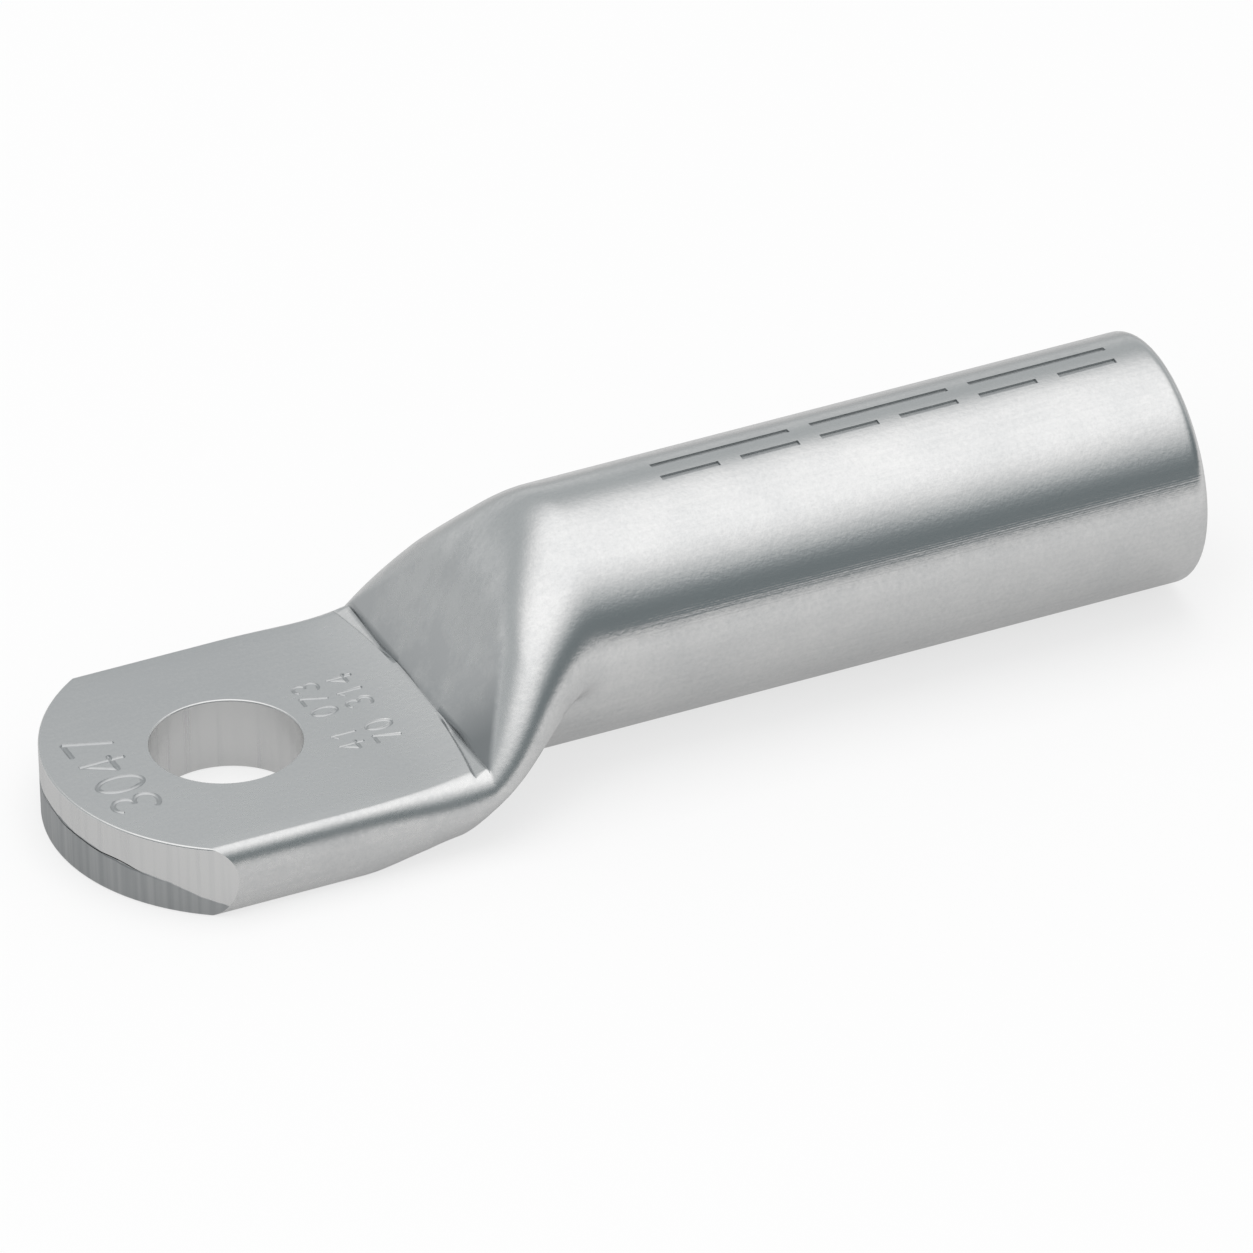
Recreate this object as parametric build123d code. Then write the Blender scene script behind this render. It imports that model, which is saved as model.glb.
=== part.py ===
from build123d import *
import math
import os

# Driving dimensions in millimetres and degrees. The origin is the middle of the bolt hole, on the
# face that lies against the busbar. +X runs along the barrel to its mouth, +Z is up.

# Tube that the lug is pressed from
barrel_diameter = 22.0
bore_diameter = 13.2
barrel_length = 56.0
rim_radius = 1.2
bore_lead_in = 0.5

# Flattened palm
palm_thickness = 6.6
palm_width = 32.2
palm_side_height = 3.75
palm_top_inset = 1.4
palm_top_narrowing = 0.8
palm_under_inset = 1.5
palm_end_reach = 15.6
palm_end_radius = 18.2
bolt_hole_diameter = 13.0
hole_edge_break = 0.15
seam_height = 3.8
seam_bow_radius = 70.0
seam_width = 0.18
seam_depth = 0.5
seam_side_land = 5.0

# Crease and the flat facet that the press leaves above it
crease_distance = 17.6
crease_rise = 0.5
ramp_length = 6.0
facet_angle = 58.9
facet_narrowing_run = 7.6
facet_tip_half_angle = 12.0
facet_shoulder = 4.1
ledge_width = 1.2
ledge_drop = 0.45
ledge_gap = 8.5

# Flared sides of the neck, which stay wide and then draw in over the round underside
underside_lead = 11.8
underside_narrow_tail = 0.8
side_lift_lead = 3.5
underside_turn_lead = 2.8
underside_turn_run = 11.0
underside_half_angle = 78.0
wing_hold = 0.5

# Hollow inside the neck, which closes between the two walls
hollow_tip_distance = 4.2
hollow_tip_width = 17.0
hollow_tip_opening = 0.8

# Crimping guide marks on top of the barrel
mark_run_start = 9.4
long_mark_count = 3
long_mark_length = 12.9
mark_gap = 1.9
mark_width = 0.7
mark_depth = 0.22
long_row_angle = 6.5
short_row_angle = -5.0

# Places worked out from the driving dimensions
barrel_radius = barrel_diameter / 2
bore_radius = bore_diameter / 2
palm_half = palm_width / 2
top_flat_half = palm_half - palm_top_inset
under_flat_half = palm_half - palm_under_inset
crease_x = crease_distance
crease_height = palm_thickness + crease_rise
ramp_start_x = crease_x - ramp_length
underside_start_x = crease_x - underside_lead
underside_turn_x = crease_x - underside_turn_lead
facet_slope = math.tan(math.radians(facet_angle))
facet_top_x = crease_x + (barrel_diameter - crease_height) / facet_slope
barrel_start_x = facet_top_x + facet_shoulder
mouth_x = barrel_start_x + barrel_length
palm_end_centre_x = palm_end_radius - palm_end_reach


def blend(x, start, end):
    """Go from 0 to 1 between two places, level at both."""
    u = min(max((x - start) / (end - start), 0.0), 1.0)
    return u * u * (3 - 2 * u)


def mix(low, high, share):
    """Go from low to high by a share from 0 to 1."""
    return low + (high - low) * share


def top_height(x):
    """Height of the pressed top: palm, ramp, facet, rounded shoulder, barrel."""
    if x <= ramp_start_x:
        return palm_thickness
    if x <= crease_x:
        return palm_thickness + crease_rise * ((x - ramp_start_x) / ramp_length) ** 2
    if x <= facet_top_x - facet_shoulder:
        return crease_height + facet_slope * (x - crease_x)
    left = facet_top_x + facet_shoulder - x
    return barrel_diameter - facet_slope * max(left, 0) ** 2 / (4 * facet_shoulder)


def half_width(x):
    """Half the width over the folded sides."""
    return mix(palm_half, barrel_radius, blend(x, crease_x + wing_hold, barrel_start_x))


def side_height(x):
    """Height of the widest line of the side."""
    return mix(palm_side_height, barrel_radius, blend(x, crease_x - side_lift_lead, barrel_start_x))


def under_edge(x):
    """Half width of the underside's middle strip, and the angle it has turned at its edge."""
    round_half = barrel_radius * math.sin(math.radians(underside_half_angle))
    share = blend(x, underside_start_x, crease_x - underside_narrow_tail)
    turn = underside_half_angle * blend(x, underside_turn_x, underside_turn_x + underside_turn_run)
    return mix(under_flat_half, round_half, share), turn


def top_edge(x):
    """Half width and edge angle of the strip on top, and the knee's share of the way to the side."""
    if x <= crease_x:
        return top_flat_half - palm_top_narrowing * blend(x, underside_start_x, crease_x), 0.0, 0.0
    tip = math.sin(math.radians(facet_tip_half_angle))
    wide = top_flat_half - palm_top_narrowing
    half = mix(wide, barrel_radius * tip, min((x - crease_x) / facet_narrowing_run, 1.0))
    turn = facet_tip_half_angle * blend(x, facet_top_x - facet_shoulder, barrel_start_x)
    knee = tip / (1 + tip) * blend(x, crease_x, barrel_start_x)
    return half, turn, knee


def upper_corner(x, start, knee, side):
    """Curve from the top strip's edge round to the widest point of the side."""
    y, z = start
    wide, middle = side
    knee_z = mix(z, middle, knee)
    swing = math.pi / 2 - math.atan2(z - knee_z, abs(wide - y))
    pull = 4 / 3 * math.tan(swing / 4) / math.tan(swing / 2)
    first = (x, mix(y, wide, pull), mix(z, knee_z, pull))
    second = (x, wide, mix(middle, knee_z, pull))
    return Bezier((x, y, z), first, second, (x, wide, middle))


def lower_corner(x, start, turn, side):
    """Curve from the underside strip's edge up to the widest point, drawn in under the side."""
    y, z = start
    wide, middle = side
    swing = math.radians(90 - turn)
    pull = 4 / 3 * math.tan(swing / 4)
    upright = pull * (middle - z) / math.sin(swing)
    level = pull * abs(wide - y) / (1 - math.cos(swing))
    along = min(upright, level)
    out = math.copysign(along * math.cos(math.radians(turn)), y)
    first = (x, y + out, z + along * math.sin(math.radians(turn)))
    second = (x, wide, middle - upright)
    return Bezier((x, y, z), first, second, (x, wide, middle))


def strip(x, half, turn, height, up):
    """Middle strip of the underside or the top: flat, or an arc that bulges outwards."""
    edge_z = height + up * half * math.tan(math.radians(turn) / 2)
    if turn == 0:
        return Line((x, -half, edge_z), (x, half, edge_z)), edge_z
    return ThreePointArc((x, -half, edge_z), (x, 0, height), (x, half, edge_z)), edge_z


def section(x):
    """Outline of the pressed tube at a place along the lug."""
    side = (half_width(x), side_height(x))
    low_half, low_turn = under_edge(x)
    high_half, high_turn, knee = top_edge(x)
    low, low_z = strip(x, low_half, low_turn, 0, 1)
    high, high_z = strip(x, high_half, high_turn, top_height(x), -1)
    edges = [low, high]
    for sign in (1, -1):
        wide = (sign * side[0], side[1])
        edges.append(lower_corner(x, (sign * low_half, low_z), low_turn, wide))
        edges.append(upper_corner(x, (sign * high_half, high_z), knee, wide))
    return Face(Wire(edges))


def barrel_section():
    """Round outline where the neck ends, split at the same places as the others."""
    low = math.radians(underside_half_angle)
    high = math.radians(facet_tip_half_angle)
    stops = [low, math.pi / 2, math.pi - high, math.pi + high, 3 * math.pi / 2, 2 * math.pi - low]

    def point(angle):
        y = barrel_radius * math.sin(angle)
        return (barrel_start_x, y, barrel_radius * (1 - math.cos(angle)))

    edges = [ThreePointArc(point(-low), point(0), point(low))]
    for start, end in zip(stops, stops[1:]):
        edges.append(ThreePointArc(point(start), point((start + end) / 2), point(end)))
    return Face(Wire(edges))


def places(start, end, count):
    """Evenly spaced places from start to end, both included."""
    return [mix(start, end, i / (count - 1)) for i in range(count)]


def barrel():
    """Round barrel with its outer rim rounded over at the mouth."""
    rim_x = mouth_x - rim_radius
    face_radius = barrel_radius - rim_radius
    pull = rim_radius * 4 / 3 * (math.sqrt(2) - 1)
    rim = [
        (rim_x, 0, barrel_radius),
        (rim_x + pull, 0, barrel_radius),
        (mouth_x, 0, face_radius + pull),
        (mouth_x, 0, face_radius),
    ]
    round_edge = Bezier(*rim)
    ends = [rim[-1], (mouth_x, 0, 0), (barrel_start_x, 0, 0), (barrel_start_x, 0, barrel_radius), rim[0]]
    straight = [Line(start, end) for start, end in zip(ends, ends[1:])]
    outline = Face(Wire([round_edge] + straight))
    return Pos(0, 0, barrel_radius) * revolve(outline, Axis.X)


def pressed_body():
    """Palm, ramp, neck and barrel in one, without the bore."""
    palm = extrude(section(underside_start_x), underside_start_x + palm_end_reach + 1, dir=(-1, 0, 0))
    ramp = loft([section(x) for x in places(underside_start_x, crease_x, 7)])
    neck_places = places(crease_x, barrel_start_x, 17)[:-1]
    neck = loft([section(x) for x in neck_places] + [barrel_section()])
    return palm + ramp + neck + barrel()


def palm_end_shape():
    """Everything inside the rounded end of the palm."""
    height = 2 * barrel_diameter
    disc = Pos(palm_end_centre_x, 0, 0) * Cylinder(palm_end_radius, height)
    rest = Pos(palm_end_centre_x, 0, 0) * Box(
        mouth_x + 1, 2 * palm_width, height, align=(Align.MIN, Align.CENTER, Align.CENTER)
    )
    return disc + rest


def bolt_hole():
    """Punched hole, sharp underneath and just broken at the top edge."""
    radius = bolt_hole_diameter / 2
    hole = Cylinder(radius, 3 * palm_thickness)
    flare = Cone(radius, radius + 2 * hole_edge_break, 2 * hole_edge_break)
    return hole + Pos(0, 0, palm_thickness) * flare


def seam():
    """Fine bowed line round the palm's end, where the two pressed walls meet."""
    tall = 2 * palm_thickness
    ring = Cylinder(palm_end_radius + 1, tall) - Cylinder(palm_end_radius - seam_depth, tall)
    outer = Cylinder(seam_bow_radius + seam_width / 2, 4 * palm_end_radius)
    sheet = outer - Cylinder(seam_bow_radius - seam_width / 2, 4 * palm_end_radius)
    bowed = Pos(0, 0, seam_height - seam_bow_radius) * Rot(0, 90, 0) * sheet
    span = palm_width - 2 * seam_side_land
    band = Pos(-palm_end_radius, 0, 0) * Box(2 * palm_end_radius, span, tall)
    return Pos(palm_end_centre_x, 0, 0) * (ring & band & bowed)


def press_ledge():
    """Two narrow ledges in front of the facet, widest outside, with a gap in the middle."""
    reach = top_flat_half
    gap_half = ledge_gap / 2
    bow_offset = (reach**2 + ledge_width**2 - gap_half**2) / (2 * ledge_width)
    bow_radius = math.hypot(bow_offset, gap_half)
    depth = barrel_diameter - crease_height + ledge_drop
    slab = Pos(crease_x, 0, crease_height - ledge_drop) * Box(
        2 * ledge_width, palm_width, depth, align=(Align.MAX, Align.CENTER, Align.MIN)
    )
    disc = Pos(crease_x - bow_offset, 0, 0) * Cylinder(bow_radius, 4 * barrel_diameter)
    return slab - disc


def crimp_marks():
    """Guide marks on top of the barrel: long ones in one row, twice as many short ones beside it."""
    long_pitch = long_mark_length + mark_gap
    rows = [
        (long_row_angle, long_mark_count, long_pitch),
        (short_row_angle, 2 * long_mark_count, long_pitch / 2),
    ]
    marks = []
    for angle, count, pitch in rows:
        length = pitch - mark_gap
        for i in range(count):
            middle = barrel_start_x + mark_run_start + i * pitch + length / 2
            on_top = Pos(0, 0, barrel_radius) * Box(length, mark_width, 2 * mark_depth)
            marks.append(Pos(middle, 0, barrel_radius) * Rot(-angle, 0, 0) * on_top)
    return marks


def bore():
    """Round bore for the conductor, with a lead-in at the mouth."""
    axis = Pos(barrel_start_x, 0, barrel_radius) * Rot(0, 90, 0)
    along = (Align.CENTER, Align.CENTER, Align.MIN)
    hole = Cylinder(bore_radius, barrel_length, align=along)
    cone = Cone(bore_radius, bore_radius + bore_lead_in, bore_lead_in, align=along)
    return axis * (hole + Pos(0, 0, barrel_length - bore_lead_in) * cone)


def hollow_section(x):
    """Opening between the walls inside the neck."""
    share = blend(x, crease_x, barrel_start_x)
    wall = mix(palm_thickness / 2, barrel_radius - bore_radius, share)
    slant = wall / math.cos(math.radians(facet_angle))
    roof = min(top_height(x) - mix(slant, wall, share), barrel_radius + bore_radius)
    opening = max(roof - wall, hollow_tip_opening)
    half = mix(hollow_tip_width / 2, bore_radius, share)
    at = Plane(origin=(x, 0, wall + opening / 2), x_dir=(0, 1, 0), z_dir=(1, 0, 0))
    return at * Ellipse(half, opening / 2)


def hollow():
    """Space inside the neck, from the round bore to where the walls meet."""
    tip_x = crease_x + hollow_tip_distance
    sections = [hollow_section(x) for x in places(tip_x, barrel_start_x, 5)[:-1]]
    mouth = Plane(origin=(barrel_start_x, 0, barrel_radius), x_dir=(0, 1, 0), z_dir=(1, 0, 0))
    return loft(sections + [mouth * Circle(bore_radius)])


def cable_lug():
    """The whole lug, pressed, punched, bored and marked."""
    body = pressed_body() & palm_end_shape()
    body = body - press_ledge() - bolt_hole() - seam()
    body = body - bore() - hollow()
    return body - crimp_marks()


os.makedirs("parts", exist_ok=True)
export_step(cable_lug(), "parts/cable_lug.step")
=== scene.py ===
import logging
import math
from dataclasses import dataclass, field, fields
from enum import Enum
from typing import Any, Callable, Dict, Iterable, List, Optional, Sequence, Tuple, Union

import bmesh
import bpy
from mathutils import Euler, Matrix, Vector
from mathutils.bvhtree import BVHTree
from mathutils.interpolate import poly_3d_calc


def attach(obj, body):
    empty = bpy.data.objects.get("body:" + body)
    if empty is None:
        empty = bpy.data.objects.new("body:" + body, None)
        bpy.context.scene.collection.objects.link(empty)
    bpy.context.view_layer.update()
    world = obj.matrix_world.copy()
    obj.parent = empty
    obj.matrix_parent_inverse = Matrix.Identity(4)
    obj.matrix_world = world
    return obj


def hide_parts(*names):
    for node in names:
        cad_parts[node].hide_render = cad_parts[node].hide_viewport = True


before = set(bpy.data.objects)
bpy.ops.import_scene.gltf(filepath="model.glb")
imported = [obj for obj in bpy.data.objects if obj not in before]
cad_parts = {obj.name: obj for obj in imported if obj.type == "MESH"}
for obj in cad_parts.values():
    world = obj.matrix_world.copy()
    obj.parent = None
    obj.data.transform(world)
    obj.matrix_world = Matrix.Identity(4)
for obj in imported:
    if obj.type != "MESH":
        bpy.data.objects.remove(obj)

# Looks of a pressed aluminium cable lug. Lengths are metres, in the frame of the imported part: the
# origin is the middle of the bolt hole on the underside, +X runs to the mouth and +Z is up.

logging.basicConfig(level=logging.INFO, format="%(message)s")
log = logging.getLogger("cable_lug")

MM = 0.001
Point = Tuple[float, float, float]
Colour = Tuple[float, float, float, float]
Span = Tuple[float, float]
Shape = bpy.types.NodeSocket


class Zone(Enum):
    """How a face of the lug was made, kept as the face's material index while it is cut."""

    DRAWN = 0
    SHEARED = 1
    STAMPED = 2
    BORED = 3


# Nodes and sockets


def of_one(operation: str) -> Callable[["Value"], "Value"]:
    """Method that adds a Math node for this number alone."""
    return lambda self: self.kit.math(operation, self)


def of_two(operation: str) -> Callable[["Value", "Operand"], "Value"]:
    """Method that adds a Math node for this number and then another."""
    return lambda self, other: self.kit.math(operation, self, other)


def reflected(operation: str) -> Callable[["Value", "Operand"], "Value"]:
    """Method that adds a Math node for another number and then this one."""
    return lambda self, other: self.kit.math(operation, other, self)


class Value:
    """A number carried by a node's socket. Arithmetic on it adds Math nodes."""

    def __init__(self, kit: "NodeKit", socket: bpy.types.NodeSocket) -> None:
        """Wrap a socket.

        Args:
            kit: The tree that the socket is in.
            socket: The output that carries the number.
        """
        self.kit = kit
        self.socket = socket

    __add__, __radd__ = of_two("ADD"), reflected("ADD")
    __sub__, __rsub__ = of_two("SUBTRACT"), reflected("SUBTRACT")
    __mul__, __rmul__ = of_two("MULTIPLY"), reflected("MULTIPLY")
    __truediv__, __rtruediv__ = of_two("DIVIDE"), reflected("DIVIDE")
    __gt__, __lt__ = of_two("GREATER_THAN"), of_two("LESS_THAN")
    least, most = of_two("MINIMUM"), of_two("MAXIMUM")
    size, arctan = of_one("ABSOLUTE"), of_one("ARCTANGENT")
    sin, cos, tan = of_one("SINE"), of_one("COSINE"), of_one("TANGENT")

    def __neg__(self) -> "Value":
        """The same size with the other sign."""
        return self.kit.math("MULTIPLY", self, -1.0)

    def held(self) -> "Value":
        """The number held between 0 and 1."""
        return self.most(0.0).least(1.0)

    def share(self, start: "Operand", end: "Operand") -> "Value":
        """How far the number has come from start to end, from 0 to 1."""
        return ((self - start) / (end - start)).held()

    def eased(self, start: "Operand", end: "Operand") -> "Value":
        """As share, but level at both ends."""
        u = self.share(start, end)
        return u * u * (3.0 - 2.0 * u)


Operand = Union[Value, float]
Spot = Tuple[Value, Value]


def between(low: Operand, high: Operand, share: Operand) -> Value:
    """Go from low to high by a share from 0 to 1."""
    return low + (high - low) * share


class NodeKit:
    """A node tree with one method for any node and one for Math nodes."""

    def __init__(self, tree: bpy.types.NodeTree) -> None:
        """Take over an empty tree."""
        self.tree = tree
        tree.nodes.clear()

    def node(
        self,
        kind: str,
        settings: Optional[Dict[str, Any]] = None,
        values: Optional[Dict[Union[int, str], Any]] = None,
    ) -> bpy.types.Node:
        """Add a node.

        Args:
            kind: The node's type.
            settings: Properties, set before the sockets. "stops" are a ramp's (place, colour).
            values: A number, a Value or a socket for each input, by name or index.

        Returns:
            The node.
        """
        made = self.tree.nodes.new(kind)
        for name, setting in (settings or {}).items():
            if name == "stops":
                self._set_stops(made.color_ramp, setting)
            else:
                setattr(made, name, setting)
        for key, value in (values or {}).items():
            self.feed(made.inputs[key], value)
        return made

    @staticmethod
    def _set_stops(ramp: bpy.types.ColorRamp, stops: Sequence[Tuple[float, Colour]]) -> None:
        """Give a colour ramp its stops."""
        while len(ramp.elements) < len(stops):
            ramp.elements.new(1.0)
        for element, (place, colour) in zip(ramp.elements, stops):
            element.position = place
            element.color = colour

    def feed(self, socket: bpy.types.NodeSocket, value: Any) -> None:
        """Link a Value or a socket to an input, or set the input's own number."""
        if isinstance(value, Value):
            self.tree.links.new(value.socket, socket)
        elif isinstance(value, bpy.types.NodeSocket):
            self.tree.links.new(value, socket)
        else:
            socket.default_value = value

    def math(self, operation: str, *values: Operand) -> Value:
        """Add a Math node and return its result."""
        made = self.node("ShaderNodeMath", {"operation": operation}, dict(enumerate(values)))
        return Value(self, made.outputs[0])

    def out(self, made: bpy.types.Node, key: Union[int, str] = 0) -> Value:
        """Wrap a node's output as a Value."""
        return Value(self, made.outputs[key])

    def split(self, vector: bpy.types.NodeSocket) -> Tuple[Value, Value, Value]:
        """The three numbers of a vector."""
        parts = self.node("ShaderNodeSeparateXYZ", values={0: vector})
        return self.out(parts, 0), self.out(parts, 1), self.out(parts, 2)

    def vector(self, x: Operand = 0.0, y: Operand = 0.0, z: Operand = 0.0) -> bpy.types.NodeSocket:
        """A vector of three numbers."""
        return self.node("ShaderNodeCombineXYZ", values={0: x, 1: y, 2: z}).outputs[0]

    def shape(self, kind: str, **values: Any) -> Shape:
        """Add a Geometry node, with its inputs by name, and return its first output."""
        named = {name.replace("_", " "): value for name, value in values.items()}
        return self.node("GeometryNode" + kind, values=named).outputs[0]

    def together(self, shapes: Iterable[Shape]) -> Shape:
        """Join shapes, linked in the order that is given."""
        made = self.node("GeometryNodeJoinGeometry")
        for shape in shapes:
            self.feed(made.inputs[0], shape)
        return made.outputs[0]

    def blended(self, share: Operand, first: Any, second: Any) -> bpy.types.NodeSocket:
        """Mix two colours, from the first at 0 to the second at 1."""
        made = self.node("ShaderNodeMix", {"data_type": "RGBA"}, {"Factor": share, 6: first, 7: second})
        return [output for output in made.outputs if output.type == "RGBA"][0]


# Meshes


def zone_slots(mesh: bpy.types.Mesh) -> None:
    """Give a mesh one placeholder material for each zone, so that cuts keep the indices."""
    for zone in Zone:
        name = f"zone_{zone.name.lower()}"
        mesh.materials.append(bpy.data.materials.get(name) or bpy.data.materials.new(name))


def new_object(name: str, mesh: bpy.types.Mesh) -> bpy.types.Object:
    """Put a mesh into the scene as an object at the origin."""
    made = bpy.data.objects.new(name, mesh)
    bpy.context.scene.collection.objects.link(made)
    return made


def plain_mesh(thing: bpy.types.Object, name: str) -> bpy.types.Mesh:
    """Evaluate an object with its modifiers and return the result as a plain mesh."""
    bpy.context.view_layer.update()
    graph = bpy.context.evaluated_depsgraph_get()
    mesh = bpy.data.meshes.new_from_object(thing.evaluated_get(graph), depsgraph=graph)
    mesh.name = name
    return mesh


def grown_mesh(
    name: str,
    numbers: Dict[str, float],
    wire: Callable[[NodeKit, Dict[str, Value]], Shape],
    zone: Zone,
) -> bpy.types.Mesh:
    """Make a mesh with a Geometry Nodes tree, whose inputs are set on its modifier.

    Args:
        name: The tree's and the mesh's name.
        numbers: The tree's named inputs with their values. A whole number gives an integer input.
        wire: Adds the nodes between the inputs and the shape, and returns the shape.
        zone: The zone that the faces belong to.

    Returns:
        A plain mesh.
    """
    blank = bpy.data.meshes.new(name)
    zone_slots(blank)
    tree = bpy.data.node_groups.new(name, "GeometryNodeTree")
    kit = NodeKit(tree)
    tree.interface.new_socket("Geometry", in_out="OUTPUT", socket_type="NodeSocketGeometry")
    identifiers = {}
    for label, number in numbers.items():
        kind = "NodeSocketInt" if isinstance(number, int) else "NodeSocketFloat"
        title = label.replace("_", " ").capitalize()
        identifiers[label] = tree.interface.new_socket(title, in_out="INPUT", socket_type=kind).identifier
    entry = kit.node("NodeGroupInput")
    shape = wire(kit, {label: kit.out(entry, i) for i, label in enumerate(numbers)})
    realized = kit.shape("RealizeInstances", Geometry=shape)
    dressed = kit.shape("SetMaterial", Geometry=realized, Material=blank.materials[zone.value])
    kit.node("NodeGroupOutput", values={0: dressed})
    holder = new_object(name, blank)
    modifier = holder.modifiers.new("grown", "NODES")
    modifier.node_group = tree
    for label, number in numbers.items():
        modifier[identifiers[label]] = number
    mesh = plain_mesh(holder, name)
    holder.modifiers.clear()
    bpy.data.objects.remove(holder)
    set_zone(mesh, zone)
    return mesh


def set_zone(mesh: bpy.types.Mesh, zone: Zone) -> None:
    """Put all faces of a mesh into one zone."""
    mesh.materials.clear()
    zone_slots(mesh)
    mesh.polygons.foreach_set("material_index", [zone.value] * len(mesh.polygons))


def loft(rings: Sequence[Sequence[Point]], zone: Zone) -> bpy.types.Mesh:
    """Skin a row of closed rings with the same number of points, and cap both ends.

    Args:
        rings: The rings, in order along the shape.
        zone: The zone that the faces belong to.

    Returns:
        A closed mesh with its normals outwards.
    """
    mesh = bpy.data.meshes.new("loft")
    made = bmesh.new()
    rows = [[made.verts.new(point) for point in ring] for ring in rings]
    for near, far in zip(rows, rows[1:]):
        for i in range(len(near)):
            j = (i + 1) % len(near)
            made.faces.new((near[i], near[j], far[j], far[i]))
    made.faces.new(rows[0])
    made.faces.new(rows[-1])
    bmesh.ops.recalc_face_normals(made, faces=made.faces)
    made.to_mesh(mesh)
    made.free()
    set_zone(mesh, zone)
    return mesh


def lathe(profile: Sequence[Span], steps: int, zone: Zone) -> bpy.types.Mesh:
    """Turn a profile of (radius, height) right round the Z axis and cap both ends."""
    rings = []
    for radius, height in profile:
        turn = [2 * math.pi * i / steps for i in range(steps)]
        rings.append([(radius * math.cos(a), radius * math.sin(a), height) for a in turn])
    return loft(rings, zone)


def round_over(radius: float, steps: int) -> List[Span]:
    """Points of a quarter round, as (distance in, distance along), from tangent to face."""
    points = []
    for i in range(steps + 1):
        angle = math.pi / 2 * i / steps
        points.append((radius * (1 - math.cos(angle)), radius * math.sin(angle)))
    return points


def cut_away(body: bpy.types.Object, tools: Sequence[bpy.types.Mesh], name: str) -> None:
    """Cut closed meshes out of a body, one after another, and keep the plain result.

    Args:
        body: The object whose mesh is cut.
        tools: Closed meshes, removed when they are used.
        name: A name for the log.
    """
    for mesh in tools:
        tool = new_object("cutting_tool", mesh)
        modifier = body.modifiers.new("cut", "BOOLEAN")
        modifier.operation = "DIFFERENCE"
        modifier.solver = "MANIFOLD"
        modifier.object = tool
        result = plain_mesh(body, body.data.name)
        body.modifiers.clear()
        if not result.polygons:
            raise RuntimeError(f"cutting the {name} left nothing")
        body.data = result
        bpy.data.objects.remove(tool)
        bpy.data.meshes.remove(mesh)
    log.info("cut %s: %d faces", name, len(body.data.polygons))


# Sizes


@dataclass(frozen=True)
class LugSizes:
    """Driving sizes of the lug, in metres and degrees, as its source has them."""

    barrel_diameter: float = 22.0 * MM
    bore_diameter: float = 13.2 * MM
    barrel_length: float = 56.0 * MM
    rim_radius: float = 1.2 * MM
    bore_lead_in: float = 0.5 * MM
    palm_thickness: float = 6.6 * MM
    palm_width: float = 32.2 * MM
    palm_side_height: float = 3.75 * MM
    palm_top_inset: float = 1.4 * MM
    palm_top_narrowing: float = 0.8 * MM
    palm_under_inset: float = 1.5 * MM
    palm_end_reach: float = 15.6 * MM
    palm_end_radius: float = 18.2 * MM
    bolt_hole_diameter: float = 13.0 * MM
    crease_distance: float = 17.6 * MM
    crease_rise: float = 0.5 * MM
    ramp_length: float = 6.0 * MM
    facet_angle: float = 58.9
    facet_narrowing_run: float = 7.6 * MM
    facet_tip_half_angle: float = 12.0
    facet_shoulder: float = 4.1 * MM
    underside_lead: float = 11.8 * MM
    underside_narrow_tail: float = 0.8 * MM
    side_lift_lead: float = 3.5 * MM
    underside_turn_lead: float = 2.8 * MM
    underside_turn_run: float = 11.0 * MM
    underside_half_angle: float = 78.0
    wing_hold: float = 0.5 * MM

    @property
    def barrel_radius(self) -> float:
        """Outer radius of the barrel."""
        return self.barrel_diameter / 2

    @property
    def bore_radius(self) -> float:
        """Radius of the bore."""
        return self.bore_diameter / 2

    @property
    def crease_height(self) -> float:
        """Height of the crease above the underside."""
        return self.palm_thickness + self.crease_rise

    @property
    def facet_slope(self) -> float:
        """Rise of the facet for each metre along."""
        return math.tan(math.radians(self.facet_angle))

    @property
    def facet_top_x(self) -> float:
        """Where the facet's line meets the barrel's top."""
        return self.crease_distance + (self.barrel_diameter - self.crease_height) / self.facet_slope

    @property
    def barrel_start_x(self) -> float:
        """Where the neck ends and the round barrel starts."""
        return self.facet_top_x + self.facet_shoulder

    @property
    def mouth_x(self) -> float:
        """Plane of the barrel's open end."""
        return self.barrel_start_x + self.barrel_length

    @property
    def palm_end_centre_x(self) -> float:
        """Centre of the arc that the palm's end is cut to."""
        return self.palm_end_radius - self.palm_end_reach


# The pressed skin


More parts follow.
